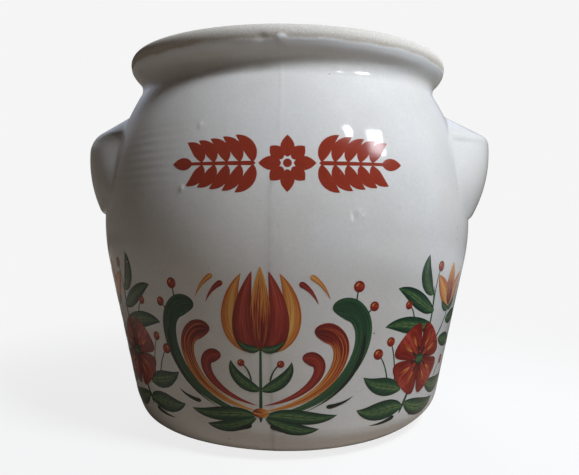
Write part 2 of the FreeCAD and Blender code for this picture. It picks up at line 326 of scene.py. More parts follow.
def bareness(azimuth, z):
    """How far a point lies outside the glaze: past its edge on the lip, or below its edge at the foot."""
    return np.maximum(z - glaze_edge(azimuth), FOOT_EDGE + waves(FOOT_EDGE_WAVES, azimuth) - z)


def seam_relief(azimuth, z):
    """Two low ridges that wander, lean near the neck and change in strength."""
    lean = math.radians(SEAM_LEAN) * smoothstep(*SEAM_LEAN_HEIGHTS, z)
    wander = waves(SEAM_WANDER, z)
    strength = SEAM_STRENGTH + waves(SEAM_STRENGTH_WAVES, z)
    strength = strength + SEAM_NECK_GAIN * smoothstep(*SEAM_NECK_HEIGHTS, z)
    total = 0.0
    for seam in SEAM_AZIMUTHS:
        gap = azimuth_gap(azimuth, math.radians(seam) + lean) * wall_radius(z)
        total = total + SEAM_HEIGHT * strength * bell(gap - wander, SEAM_WIDTH)
    return total


def hand_shaping(azimuth, z):
    """The lip's underside swells, and the foot's rounding sags, mostly on the left."""
    below, half_width, rise = COLLAR_SWELL
    swell = rise * bell(z - HEIGHT + below, half_width)
    return swell + (FOOT_SAG[0] - FOOT_SAG[1] * np.sin(azimuth)) * band(z, *FOOT_SAG_BAND)


def throwing_lines(azimuth, z):
    """Faint level ripples all round, plainest beside the left lug."""
    centre, half_width = np.radians(RIPPLE_PLACE)
    place = bell(azimuth_gap(azimuth, centre), half_width)
    sway = 0.8 * np.sin(5 * azimuth) + 0.9 * np.sin(z / 7)
    ripples = np.sin(math.tau * z / RIPPLE_PITCH + sway)
    return RIPPLE_HEIGHT * (place * band(z, *RIPPLE_BAND) + RIPPLE_ELSEWHERE) * ripples


def unevenness(azimuth, z):
    """Slow waves of a wall that was turned and glazed by hand, and a finer beat on them."""
    total = 0.0
    for size, count, phase, shift in WALL_WAVES:
        total = total + size * np.sin(count * azimuth + phase + z / shift)
    return total + WALL_BEAT * np.sin(13 * azimuth - z / 15) * np.sin(z / 11 + 2 * azimuth)


def relief(azimuth, z):
    azimuth, z = np.broadcast_arrays(azimuth, z)
    total = unevenness(azimuth, z) + throwing_lines(azimuth, z) + hand_shaping(azimuth, z)
    total = total + seam_relief(azimuth, z)
    for flaw in (GLAZE_BLOB, LIP_DENT):
        total = total + mound(azimuth, z, *flaw)
    for centre, middle, radius, rise in PIMPLES:
        half = radius * math.sqrt(0.5)
        total = total + mound(azimuth, z, centre, middle, half, half, rise)
    film = GLAZE_FILM * smoothstep(*GLAZE_FILM_END, bareness(azimuth, z))
    return (total + film) * band(z, *RELIEF_BAND)


# Meshes


def to_space(radius, azimuth, z):
    return np.stack((radius * np.sin(azimuth), -radius * np.cos(azimuth), z + 0 * azimuth), axis=-1)


def make_object(name, points, faces, materials, indices=None, attributes=(), crisp=None):
    """A smooth-shaded mesh object from points in millimetres. Attributes are (name, type, values).

    Edges that bend by more than the crisp angle stay sharp.
    """
    mesh = bpy.data.meshes.new(name)
    mesh.from_pydata((points * MM).tolist(), [], faces)
    for material in materials:
        mesh.materials.append(material)
    if indices is not None:
        mesh.polygons.foreach_set("material_index", indices)
    mesh.polygons.foreach_set("use_smooth", [True] * len(mesh.polygons))
    for attribute, kind, values in attributes:
        layer = mesh.attributes.new(attribute, kind, "POINT")
        field = "vector" if kind == "FLOAT_VECTOR" else "value"
        layer.data.foreach_set(field, np.ravel(values).astype(np.float32))
    mesh.validate()
    mesh.update()
    if crisp is not None:
        mesh.set_sharp_from_angle(angle=math.radians(crisp))
    piece = bpy.data.objects.new(name, mesh)
    bpy.context.scene.collection.objects.link(piece)
    return piece


def add_piece(piece, *nodes):
    """Puts a finished piece on the jar, in place of the nodes that it stands for."""
    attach(piece, "root")
    if nodes:
        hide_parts(*nodes)


def jar_azimuths():
    """Azimuths of the jar's mesh lines: even all round, and closer at the seams and the pimples."""
    azimuths = [np.arange(-180, 180, AZIMUTH_STEP)]
    beside = np.arange(-SEAM_STEP_REACH, SEAM_STEP_REACH + SEAM_STEP / 2, SEAM_STEP)
    azimuths += [centre + beside for centre in SEAM_AZIMUTHS]
    azimuths += [centre + PIMPLE_LINES * radius for centre, _, radius, _ in PIMPLES]
    wrapped = (np.concatenate(azimuths) + 180) % 360 - 180
    return np.radians(np.unique(np.round(wrapped, 3)))


def lip_tilt(radius, azimuth, z):
    """Heights with the lip a little higher on the left."""
    share = smoothstep(*LIP_TILT_HEIGHTS, z) * smoothstep(*LIP_TILT_RADII, radius)
    return z - LIP_TILT * np.sin(azimuth) * share


def jar_bareness(section, outside, around):
    """Bareness all over the jar. Its recess is bare clay, and inside the glaze ends below the mouth."""
    radius, z = section[:, 0:1], section[:, 1:2]
    under, inside = slice(0, outside.start), slice(outside.stop, None)
    bare = bareness(around, z)
    bare[under] = np.where(radius[under] < RECESS_RADIUS, BARE, bare[under])
    bare[inside] = np.minimum(bare[inside], z[inside] - INNER_GLAZE_EDGE)
    return bare


def turned_faces(rings, columns):
    """Faces between rings of points, and fans to the two poles whose points come after them."""
    top, first_pole = (rings - 1) * columns, rings * columns
    turns = [(j, (j + 1) % columns) for j in range(columns)]
    faces = []
    for low in range(0, top, columns):
        high = low + columns
        faces += [(low + j, low + k, high + k, high + j) for j, k in turns]
    for j, k in turns:
        faces += [(k, j, first_pole), (top + j, top + k, first_pole + 1)]
    return faces


def make_jar(material):
    """The jar as its section turned round the axis. Each end of the section becomes a pole."""
    under = under_section()
    section = chain(under, OUTSIDE, inner_section())
    outside = slice(len(under) - 1, len(under) - 1 + len(OUTSIDE))
    around = jar_azimuths()[None, :]
    along = np.gradient(section, axis=0)
    along /= np.linalg.norm(along, axis=1)[:, None]
    lift = np.zeros((len(section), around.size))
    lift[outside] = relief(around, section[outside, 1:2])
    radius = section[:, 0:1] + along[:, 1:2] * lift
    z = lip_tilt(radius, around, section[:, 1:2] - along[:, 0:1] * lift)
    rings = to_space(radius, around + 0 * z, z)[1:-1]
    poles = [(0, 0, height) for height in section[[0, -1], 1]]
    points = np.vstack((rings.reshape(-1, 3), poles))
    bare = np.append(jar_bareness(section, outside, around)[1:-1], [BARE, GLAZED])
    faces = turned_faces(*rings.shape[:2])
    piece = make_object("jar_glazed", points, faces, [material], attributes=[("bare", "FLOAT", bare)])
    add_piece(piece, "jar_body")


def slab_faces(rows, columns, start=0):
    """Faces of a closed slab: a top grid of points, then a bottom grid of as many."""
    count = rows * columns
    grid = np.arange(start, start + count).reshape(rows, columns)
    corners = (grid[:-1, :-1], grid[:-1, 1:], grid[1:, 1:], grid[1:, :-1])
    top = np.stack(corners, axis=-1).reshape(-1, 4)
    sheets = np.stack((top, top[:, ::-1] + count), axis=1).reshape(-1, 4)
    rim = np.concatenate((grid[0, :-1], grid[:-1, -1], grid[-1, :0:-1], grid[:0:-1, 0]))
    ahead = np.roll(rim, -1)
    edges = np.column_stack((ahead, rim, rim + count, ahead + count))
    return np.vstack((sheets, edges)).tolist()


def lug_section(z, reach, bottom, tip_z, slope, tip_round, face_curve):
    """How far a lug reaches from the jar's axis at a height, along the lug's own bearing."""
    slope = math.radians(slope)
    face = reach - face_curve + half_chord(face_curve, z - tip_z)
    tip = reach - tip_round + half_chord(tip_round, z - tip_z)
    roof_x = reach - tip_round + tip_round * math.sin(slope)
    roof_z = tip_z + tip_round * math.cos(slope)
    roof = roof_x - (z - roof_z) / math.tan(slope)
    heel_drop = LUG_HEEL - half_chord(LUG_HEEL, np.maximum(bottom + LUG_HEEL - z, 0))
    section = np.where(z < tip_z, face - heel_drop, np.where(z < roof_z, tip, roof))
    return np.where(z < bottom, 0.0, section)


def lug_radius(z, spread, reach, bottom, tip_z, *rounding):
    """Distance of a lug's surface from the jar's axis, and 0 where there is no lug."""
    pivot = reach - LUG_SWEEP - LUG_SPREAD * np.maximum(LUG_SPREAD_TOP - z, 0)
    sweep = np.maximum(lug_section(z, reach, bottom, tip_z, *rounding) - pivot, 0)
    chord = half_chord(sweep, pivot * np.sin(spread))
    return np.where(chord > 0, pivot * np.cos(spread) + chord, 0.0)


def lug_skin(lug, wall, blend):
    """The outer one of a lug and the wall, with a soft blend between them."""
    share = np.clip(0.5 + 0.5 * (lug - wall) / blend, 0, 1)
    skin = wall + (lug - wall) * share + blend * share * (1 - share)
    tuck = LUG_TUCK * (1 - smoothstep(0.0, LUG_TUCK_SHARE, share))
    return skin - tuck - LUG_SINK * np.clip(wall - lug - blend, 0, LUG_SINK_REACH)


def make_lug(name, node, shape, material):
    """A lug as a skin that swells out of the jar's wall, closed behind inside the wall."""
    bearing, reach_shift, bottom_shift, tip_shift, *rounding = shape
    bottom = LUG_BOTTOM + bottom_shift
    tip_z = LUG_BOTTOM + LUG_DEPTH + tip_shift
    spread = np.radians(np.linspace(-LUG_SKIN_SPREAD, LUG_SKIN_SPREAD, LUG_SKIN_LINES))[None, :]
    z = np.concatenate([np.arange(*stretch) for stretch in LUG_SKIN_HEIGHTS])[:, None]
    azimuth = math.radians(bearing) + spread
    wall = wall_radius(z) + relief(azimuth, z)
    lug = lug_radius(z, spread, LUG_REACH + reach_shift, bottom, tip_z, *rounding)
    least, greatest = LUG_BLEND
    blend = least + (greatest - least) * smoothstep(*LUG_BLEND_RISE, z - bottom)
    skins = (lug_skin(lug, wall, blend), wall - LUG_SKIN_DEPTH)
    points = np.concatenate([to_space(radius, azimuth + 0 * z, z) for radius in skins]).reshape(-1, 3)
    bare = np.full(len(points), GLAZED)
    faces = slab_faces(z.size, spread.size)
    piece = make_object(name, points, faces, [material], attributes=[("bare", "FLOAT", bare)])
    add_piece(piece, node)


# Transfers: thin closed strokes of enamel that follow the wall

# Height of the base line, rise of the first and of each next layer, depth in the wall, least half width
BASE_LINE = 1.6
LAYER_BASE = 0.04
LAYER_STEP = 0.025
SINK = 0.25
THINNEST = 0.05
# Mesh of a stroke: length of a row, fewest and most rows, lines across up to a width, least sharp angle
STROKE_STEP = 0.9
STROKE_ROWS = (10, 44)
STROKE_LINES = ((1.6, 3), (5.0, 5), (math.inf, 9))
STROKE_CRISP = 50


# Widths along a stroke, as shares of its full width. A divisor brings the widest place to 1.


def leaf_width(u):
    return u**0.7 * (1 - u) ** 0.9 / 0.334


def petal_width(u):
    return u**0.8 * np.sqrt(1 - u**5) / 0.695


def comma_width(u, head=0.14):
    round_head = np.sqrt(np.clip(1 - ((head - u) / head) ** 2, 0, 1))
    tail = (np.clip(1 - u, 0, 1) / (1 - head)) ** 0.75
    return np.where(u < head, round_head, tail)


def swell_width(u):
    return np.sin(math.pi * u**0.6)


def round_width(u):
    return np.sqrt(np.clip(1 - (2 * u - 1) ** 2, 0, 1))


def line_width(u):
    return np.clip(6 * np.sin(math.pi * u), 0, 1) ** 0.5 * (1 - 0.3 * u)


def bezier(controls, u):
    """Points along a Bezier curve with any number of control points."""
    degree = len(controls) - 1
    points = 0.0
    for k, control in enumerate(controls):
        weight = math.comb(degree, k) * u**k * (1 - u) ** (degree - k)
        points = points + weight[:, None] * np.asarray(control, float)
    return points


class Painter:
    """Collects the strokes of a transfer. Places are round the wall and above the base line."""

    kinds = ("vine", "leaf", "red", "ochre", "scroll", "ink", "brick")

    def __init__(self, centre=0.0, flip=1):
        self.centre, self.flip = centre, flip
        self.points, self.faces, self.indices, self.brush = [], [], [], []
        self.count = 0

    def stroke(self, kind, shape, width, controls, layer=0):
        """A stroke along a Bezier curve. Shape gives the width along the way."""
        reach = sum(math.dist(a, b) for a, b in zip(controls, controls[1:]))
        rows = int(np.clip(reach / STROKE_STEP, *STROKE_ROWS))
        columns = next(lines for limit, lines in STROKE_LINES if width < limit)
        u = 0.5 - 0.5 * np.cos(np.linspace(0, math.pi, rows))
        v = np.linspace(-1, 1, columns)
        middle = bezier(controls, u)
        ahead = np.gradient(middle, u, axis=0)
        ahead /= np.linalg.norm(ahead, axis=1)[:, None]
        half = np.maximum(0.5 * width * shape(u), THINNEST)
        side = np.column_stack((ahead[:, 1], -ahead[:, 0])) * half[:, None]
        flat = middle[:, None, :] + side[:, None, :] * v[None, :, None]
        along, up = self.centre + self.flip * flat[..., 0], BASE_LINE + flat[..., 1]
        if self.flip < 0:
            along, up = along[:, ::-1], up[:, ::-1]
        azimuth = along / wall_radius(up)
        wall = wall_radius(up) + relief(azimuth, up)
        start = sum(len(block) for block in self.points)
        for radius in (wall + LAYER_BASE + LAYER_STEP * layer, wall - SINK):
            self.points.append(to_space(radius, azimuth, up).reshape(-1, 3))
            marks = np.broadcast_arrays(u[:, None], v[None, :], float(self.count))
            self.brush.append(np.stack(marks, axis=-1).reshape(-1, 3))
        faces = slab_faces(rows, columns, start)
        self.faces += faces
        self.indices += [self.kinds.index(kind)] * len(faces)
        self.count += 1

    def dot(self, kind, place, radius, layer=0):
        x, y = place
        self.stroke(kind, round_width, 2 * radius, ((x - radius, y), (x + radius, y)), layer)

    def ray(self, kind, shape, width, place, angle, near, far, layer=0):
        """A straight stroke that points away from a place, at an angle in degrees from the right."""
        x, y = place
        c, s = math.cos(math.radians(angle)), math.sin(math.radians(angle))
        ends = [(x + reach * c, y + reach * s) for reach in (near, far)]
        self.stroke(kind, shape, width, ends, layer)

    def berry(self, root, place, radius, layer=1):
        """A red berry with a glint, on a thin stalk."""
        (x, y), (a, b) = root, place
        bend = (x + 0.2 * (a - x), y + 0.7 * (b - y))
        self.stroke("vine", line_width, 0.8, (root, bend, place), layer - 1)
        self.dot("red", place, radius, layer)
        glint = [(a + s * radius, b + t * radius) for s, t in ((-0.5, 0), (-0.4, 0.5), (0.1, 0.6))]
        self.stroke("ochre", leaf_width, 0.35 * radius, glint, layer + 1)

    def finish(self, name, enamels):
        materials = [enamels[kind] for kind in self.kinds]
        brush = np.concatenate(self.brush)
        points = np.concatenate(self.points)
        attributes = [("brush", "FLOAT_VECTOR", brush)]
        piece = make_object(name, points, self.faces, materials, self.indices, attributes, STROKE_CRISP)
        add_piece(piece)


# Emblem: height, lengths of the rosette's petals, and an ear's pairs of grains, their start and pitch
EMBLEM_HEIGHT = 128.0
ROSETTE_PETALS = (11.8, 10.0) * 4
EAR_PAIRS = 5
EAR_START = 14.0
EAR_PITCH = 5.6
GRAIN_WIDTH = 5.4
# Places of the bouquet and the sprays, round the wall from the front
BOUQUET_PLACE = -11.0
SPRAY_PLACES = (71.0, -88.0)


def paint_emblem(enamels):
    """Two ears of wheat that point away from a rosette, in one colour."""
    painter = Painter()
    z = EMBLEM_HEIGHT
    for k, length in enumerate(ROSETTE_PETALS):
        painter.ray("brick", leaf_width, 6.0, (0, z), k * 360 / len(ROSETTE_PETALS), 2.6, length)
    painter.dot("brick", (0, z), 1.8)
    for way in (1, -1):
        painter.stroke("brick", line_width, 1.9, ((way * 13, z), (way * 27, z), (way * 44, z)))
        for k in range(EAR_PAIRS):
            x = EAR_START + EAR_PITCH * k
            spread = 12.0 - 0.7 * k
            for up in (1, -1):
                tip = (way * (x + 7.6), z + up * spread)
                bend = (way * (x + 0.6), z + up * 0.7 * spread)
                painter.stroke("brick", leaf_width, GRAIN_WIDTH, ((way * x, z + up * 0.6), bend, tip), 1)
        painter.stroke("brick", leaf_width, GRAIN_WIDTH, ((way * 41.0, z), (way * 51.0, z)), 1)
    painter.finish("wheat_emblem", enamels)


def paint_bouquet(enamels):
    """A bound bouquet: a tulip between lyre-shaped scrolls, leaves, berries and short dark strokes."""
    painter = Painter(BOUQUET_PLACE)
    painter.stroke("vine", line_width, 1.5, ((0, 17), (0, 52)))
    for way in (1, -1):

        def put(kind, shape, width, controls, layer=0):
            painter.stroke(kind, shape, width, [(way * x, y) for x, y in controls], layer)

        # Scrolls, from the outside in
        put("vine", comma_width, 10.0, ((30, 68), (55, 72), (48, 26), (1.5, 20)), 1)
        put("scroll", comma_width, 9.0, ((22.5, 58), (43, 60), (37, 28), (1.5, 22.5)), 2)
        put("red", comma_width, 6.4, ((17.5, 46.5), (31, 48), (26, 30), (1.5, 25)), 1)
        put("ink", swell_width, 1.8, ((45, 56), (45, 44), (38, 30), (18, 22)), 3)
        # Tulip petals
        put("ochre", leaf_width, 8.5, ((0.5, 50), (15, 52), (16, 70), (8, 83)), 1)
        put("red", leaf_width, 9.0, ((0.5, 50), (10, 51), (9, 68), (3.5, 84)), 2)
        put("leaf", leaf_width, 3.4, ((0, 51), (5, 48.5), (10, 54)), 4)
        # Leaves on the stem and below the binding
        put("leaf", leaf_width, 5.6, ((0, 32), (6, 33), (13, 38), (13, 45)), 1)
        put("leaf", leaf_width, 6.6, ((2, 20), (13, 22), (22, 17), (33, 20)), 2)
        put("leaf", leaf_width, 6.0, ((2, 19), (10, 15), (17, 12.5), (25, 14)), 1)
        # Short strokes
        put("ink", comma_width, 2.2, ((4, 15.5), (9, 13.5), (14, 11.5)), 3)
        put("ink", comma_width, 2.0, ((28, 24), (35, 24.5), (40, 28)), 3)
        put("red", comma_width, 2.6, ((16, 79), (21, 77), (24, 70)), 2)
        put("ochre", comma_width, 2.4, ((20.5, 82), (26, 79), (29, 72)), 2)
    for way in (1, -1):
        painter.berry((way * 40, 63), (way * 41.5, 77), 2.5)
        painter.berry((way * 43.5, 58), (way * 49, 68), 2.2)
        painter.berry((way * 4, 36), (way * 8.5, 44), 1.6, 3)
    painter.stroke("scroll", leaf_width, 8.0, ((0, 50), (0, 86)), 4)
    painter.stroke("scroll", round_width, 4.4, ((-3.6, 21.5), (3.6, 21.5)), 4)
    painter.stroke("ochre", line_width, 0.9, ((-3.4, 21.5), (0, 20.6), (3.4, 21.5)), 5)
    painter.finish("bouquet", enamels)


def paint_poppy(painter, place):
    """Four broad petals with pale lines, a ring of dark strokes and a green middle."""
    for k, angle in enumerate((40, 130, 220, 310)):
        painter.ray("red", petal_width, 21.0, place, angle, 1.0, 17.0, 2 + k)
        for turn in (-16, 14):
            painter.ray("scroll", leaf_width, 1.6, place, angle + turn, 15.5, 7.0, 3 + k)
    for angle in range(10, 360, 45):
        painter.ray("ink", comma_width, 1.2, place, angle, 6.4, 2.0, 7)
    painter.dot("leaf", place, 3.0, 8)


def paint_bell_flower(painter, x, y):
    """Three petals that rise from two small leaves."""
    petals = ("ochre", 130, 9.0, 2), ("ochre", 46, 9.0, 2), ("scroll", 88, 10.0, 3)
    for kind, angle, width, layer in petals:
        painter.ray(kind, leaf_width, width, (x, y), angle, 0.5, 22.0, layer)
    for bend, tip in ((5, 10), (-5, -9)):
        painter.stroke("leaf", leaf_width, 3.6, ((x, y - 1), (x + bend, y - 1), (x + tip, y + 4)), 4)


def paint_spray(name, place, enamels):
    """An arching spray with a poppy, a bell flower, leaves and berries. It leans away from the front."""
    painter = Painter(place, 1 if place > 0 else -1)
    painter.stroke("vine", line_width, 1.6, ((-16, 15), (-5, 34), (7, 55), (3, 74)))
    painter.stroke("vine", line_width, 1.2, ((-2, 38), (10, 48), (20, 54), (21, 63)))
    leaves = (
        ((-14, 18), (-23, 21), (-32, 16), (-40, 21)),
        ((-13, 20), (-6, 15), (5, 12), (15, 16)),
        ((-16, 27), (-24, 31), (-30, 29), (-37, 36)),
        ((3, 27), (11, 21), (22, 20), (30, 26)),
        ((3, 56), (-8, 55), (-17, 60), (-27, 58)),
        ((5, 62), (-5, 65), (-12, 73), (-21, 75)),
        ((3, 70), (-4, 75), (-5, 82), (-2, 89)),
        ((13, 47), (21, 44), (29, 45), (36, 39)),
        ((20, 56), (27, 54), (34, 58), (40, 55)),
    )
    for k, controls in enumerate(leaves):
        painter.stroke("leaf", leaf_width, 9.2 - 0.25 * k, controls, 1)
    paint_poppy(painter, (-4, 40))
    paint_bell_flower(painter, 21, 62)
    painter.berry((4, 64), (8, 83), 2.5)
    painter.berry((-10, 60), (-14, 67), 2.1)
    painter.berry((-24, 29), (-30, 46), 2.5)
    painter.berry((-20, 30), (-23.5, 51), 2.2)
    painter.berry((12, 23), (22, 34), 2.4)
    painter.stroke("ink", comma_width, 2.0, ((-19, 14.5), (-26, 12), (-33, 12.5)), 2)
    painter.stroke("ink", comma_width, 1.8, ((-9, 13.5), (-2, 11.2), (5, 11)), 2)
    painter.finish(name, enamels)


# Materials


def opaque(colour):
    """A colour with full alpha. A socket stays as it is."""
    return (*colour, 1.0) if isinstance(colour, tuple) else colour


class Graph:
    """A node tree that is written as nested calls."""

    def __init__(self, tree):
        self.tree = tree
        tree.nodes.clear()

    def node(self, kind, settings=None, **inputs):
        node = self.tree.nodes.new("ShaderNode" + kind)
        for name, value in (settings or {}).items():
            setattr(node, name, value)
        for name, value in inputs.items():
            self.put(node, name.replace("_", " "), value)
        return node

    def put(self, node, name, value):
        """Sets or links an input, which is given by its name or as i and its number."""
        numbered = name[0] == "i" and name[1:].isdigit()
        socket = node.inputs[int(name[1:]) if numbered else name]
        if isinstance(value, bpy.types.NodeSocket):
            self.tree.links.new(value, socket)
        else:
            socket.default_value = value

    def math(self, operation, first, second=0.0, third=0.0):
        node = self.node("Math", {"operation": operation}, i0=first, i1=second, i2=third)
        return node.outputs[0]

    def times(self, first, second):
        return self.math("MULTIPLY", first, second)

    def ramp(self, factor, *stops):
        """A colour ramp. Each stop is (position, colour or grey)."""
        node = self.node("ValToRGB", Fac=factor)
        while len(node.color_ramp.elements) < len(stops):
            node.color_ramp.elements.new(0.5)
        for element, (position, colour) in zip(node.color_ramp.elements, stops):
            element.position = position
            element.color = opaque(colour if isinstance(colour, tuple) else (colour,) * 3)
        return node.outputs["Color"]

    def mix(self, factor, first, second):
        """A mix of two colours."""
        node = self.node("Mix", {"data_type": "RGBA"}, i0=factor, i6=opaque(first), i7=opaque(second))
        return node.outputs[2]

    def shader(self, kind, colour):
        return self.node(kind, Color=opaque(colour)).outputs[0]

    def blend(self, factor, first, second):
        """A mix of two shaders."""
        return self.node("MixShader", i0=factor, i1=first, i2=second).outputs[0]

    def noise(self, vector, scale, detail=2.0, roughness=0.5):
        node = self.node("TexNoise", Vector=vector, Scale=scale, Detail=detail, Roughness=roughness)
        return node.outputs["Fac"]

    def attribute(self, name, output):
        return self.node("Attribute", {"attribute_name": name}).outputs[output]


def new_material(name):
    material = bpy.data.materials.new(name)
    material.use_nodes = True
    return material, Graph(material.node_tree)


def millimetres(graph):
    """Places on the object, in millimetres."""
    place = graph.node("TexCoord").outputs["Object"]
    return graph.node("VectorMath", {"operation": "SCALE"}, i0=place, Scale=1 / MM).outputs[0]


def fade_in(graph, value, start, end):
    """0 below the start, 1 past the end, and a soft step between them."""
    soft = {"interpolation_type": "SMOOTHSTEP"}
    return graph.node("MapRange", soft, Value=value, From_Min=start, From_Max=end).outputs[0]


GLAZE_LIGHT = (0.73, 0.725, 0.71)
GLAZE_DEEP = (0.66, 0.65, 0.625)
GLAZE_COOL = (0.685, 0.70, 0.715)
# Pale bluish tint by the glaze's edges: a painted sheen that stands in for a reflection on the lip's
# glazed strip
THICK_GLAZE_SHEEN = (0.83, 0.85, 0.87)
SPECK = (0.10, 0.075, 0.055)
FAINT_SPECK = (0.40, 0.375, 0.34)
SEAM_STAIN = (0.36, 0.335, 0.30)
CLAY_PALE = (0.70, 0.68, 0.64)
CLAY_MID = (0.53, 0.49, 0.43)
CLAY_DARK = (0.43, 0.375, 0.30)
# Painted shade: brown that darkens the bare clay towards the glaze's edge on the lip's lower side
CLAY_SHADED_EDGE = (0.36, 0.29, 0.20)
CLAY_ROUGHNESS = (0.85, 0.85, 0.85)
# Bareness over which a painted sheen pales the glaze towards its edge, where the glaze also thickens, and
# how much that shows
SHEEN_BAND = (-4.5, -1.5)
SHEEN_SHARE = 0.8
# Stain of the front seam: its shift from the seam in degrees, its reach to each side, its strength
STAIN_SHIFT = 0.3
STAIN_REACH = 7.0
STAIN_STRENGTH = 0.5


def seam_mask(graph, place):
    """Strength of the stain along the front seam, broken up by noise. It ends on the shoulder."""
    parts = graph.node("SeparateXYZ", Vector=place).outputs
    angle = graph.math("ARCTAN2", parts["X"], graph.times(parts["Y"], -1.0))
    lean = fade_in(graph, parts["Z"], *SEAM_LEAN_HEIGHTS)
    foot = math.radians(SEAM_AZIMUTHS[0] + STAIN_SHIFT)
    seam = graph.math("MULTIPLY_ADD", lean, math.radians(SEAM_LEAN), foot)
    gap = graph.math("ABSOLUTE", graph.math("SUBTRACT", angle, seam))
    gap = graph.times(gap, BELLY_RADIUS / STAIN_REACH)
    fade = graph.ramp(gap, (0.0, 1.0), (0.14, 0.4), (0.3, 0.16), (1.0, 0.0))
    patches = graph.noise(place, scale=0.12, detail=4.0, roughness=0.65)
    fade = graph.times(fade, graph.ramp(patches, (0.25, 0.15), (0.7, 1.0)))
    low = graph.ramp(graph.times(parts["Z"], 1 / HEIGHT), (0.62, 1.0), (0.74, 0.0))
    return graph.times(fade, graph.times(low, STAIN_STRENGTH))


def specks(graph, place, cells_per_mm, largest, smallest, softness):
    """Small round marks, one in each cell. A negative smallest size leaves cells without one."""
    cells = graph.node("TexVoronoi", Vector=place, Scale=cells_per_mm).outputs
    draw = graph.node("SeparateColor", Color=cells["Color"]).outputs["Red"]
    size = graph.math("MULTIPLY_ADD", draw, largest - smallest, smallest)
    inside = graph.math("SUBTRACT", size, graph.times(cells["Distance"], 1 / cells_per_mm))
    return graph.node("MapRange", Value=inside, From_Min=0.0, From_Max=softness).outputs[0]


def glaze_colour(graph, place, past_edge):
    """Off-white with cool patches, mottling, specks and a stained seam, and a painted sheen that pales it
    towards its edges, where it is also thick.
    """
    cloud = graph.noise(place, scale=0.035, detail=3.0, roughness=0.55)
    glaze = graph.ramp(cloud, (0.3, GLAZE_DEEP), (0.72, GLAZE_LIGHT))
    cool = graph.ramp(graph.noise(place, scale=0.022), (0.45, 0.0), (0.7, 0.6))
    glaze = graph.mix(cool, glaze, GLAZE_COOL)
    mottle = graph.noise(place, scale=0.75, detail=4.0, roughness=0.65)
    glaze = graph.mix(graph.ramp(mottle, (0.35, 0.13), (0.62, 0.0)), glaze, CLAY_DARK)
    faint = specks(graph, place, cells_per_mm=0.28, largest=0.55, smallest=-0.55, softness=0.35)
    glaze = graph.mix(graph.times(faint, 0.4), glaze, FAINT_SPECK)
    glaze = graph.mix(seam_mask(graph, place), glaze, SEAM_STAIN)
    dark = specks(graph, place, cells_per_mm=0.16, largest=0.42, smallest=-0.30, softness=0.12)
    glaze = graph.mix(dark, glaze, SPECK)
    # Painted sheen: the glaze pales and cools towards its edges, as a reflection would show there
    sheen = graph.times(fade_in(graph, past_edge, *SHEEN_BAND), SHEEN_SHARE)
    return graph.mix(sheen, glaze, THICK_GLAZE_SHEEN)


def clay_colour(graph, grain, edge):
    """Grainy clay, with painted shade that darkens it beside the glaze's edge."""
    clay = graph.ramp(grain, (0.32, CLAY_MID), (0.66, CLAY_PALE))
    # Painted shade on the clay, strongest at the glaze's edge
    edge_shade = graph.ramp(graph.times(edge, 0.4), (0.0, 0.4), (1.0, 0.0))
    return graph.mix(edge_shade, clay, CLAY_SHADED_EDGE)


def surface_height(graph, place, grain, bare):
    """Height for the bump: the glaze's soft peel and pits, or the clay's grain."""
    pits = graph.ramp(graph.noise(place, scale=0.55), (0.62, 0.0), (0.8, 1.0))
    peel = graph.math("ADD", graph.noise(place, scale=0.22), graph.times(pits, -0.25))
    return graph.mix(bare, peel, graph.times(grain, 1.6))


def make_glaze():
    """Gloss off-white glaze, and the bare clay past its edges."""
    material, graph = new_material("glazed_stoneware_look")
    place = millimetres(graph)
    past_edge = graph.attribute("bare", "Fac")
    ragged = graph.math("SUBTRACT", graph.noise(place, scale=0.8, detail=3.0), 0.5)
    edge = graph.math("ADD", past_edge, ragged)
    bare = graph.ramp(graph.math("MULTIPLY_ADD", edge, 0.7, 0.5), (0.2, 0.0), (0.8, 1.0))
    grain = graph.noise(place, scale=1.3, detail=5.0, roughness=0.7)
    colour = graph.mix(bare, glaze_colour(graph, place, past_edge), clay_colour(graph, grain, edge))
    gloss = graph.ramp(graph.noise(place, scale=0.09), (0.3, 0.05), (0.75, 0.12))
    roughness = graph.mix(bare, gloss, CLAY_ROUGHNESS)
    height = surface_height(graph, place, grain, bare)
    bump = graph.node("Bump", Strength=0.35, Distance=0.12 * MM, Height=height).outputs[0]
    shader = graph.node("BsdfPrincipled", Base_Color=colour, Roughness=roughness, Normal=bump, IOR=1.5)
    graph.node("OutputMaterial", Surface=shader.outputs[0])
    return material


RED_DEEP = (0.11, 0.007, 0.005)
RED = (0.27, 0.023, 0.014)
RED_LIGHT = (0.45, 0.065, 0.038)
GREEN_DEEP = (0.010, 0.033, 0.018)
GREEN = (0.024, 0.080, 0.037)
GREEN_LIGHT = (0.12, 0.20, 0.07)
OCHRE_DEEP = (0.42, 0.075, 0.012)
OCHRE = (0.58, 0.20, 0.035)
OCHRE_LIGHT = (0.72, 0.40, 0.11)
INK = (0.010, 0.013, 0.010)
INK_LIGHT = (0.035, 0.045, 0.035)
BRICK = (0.25, 0.028, 0.013)
BRICK_LIGHT = (0.31, 0.042, 0.021)
# How often the streaks change along a stroke, across it and from one stroke to the next
BRUSH_RATE = (2.2, 6.0, 3.7)


def leaf_veins(graph, u, edge):
    """Slanting veins at even distances along a leaf, and a middle vein."""
    slant = graph.math("MULTIPLY_ADD", edge, -1.3, graph.times(u, 6.5))
    side = graph.math("GREATER_THAN", graph.math("SINE", graph.times(slant, math.tau)), 0.93)
    middle = graph.math("LESS_THAN", edge, 0.07)
    return graph.times(graph.math("MAXIMUM", side, middle), 0.75)


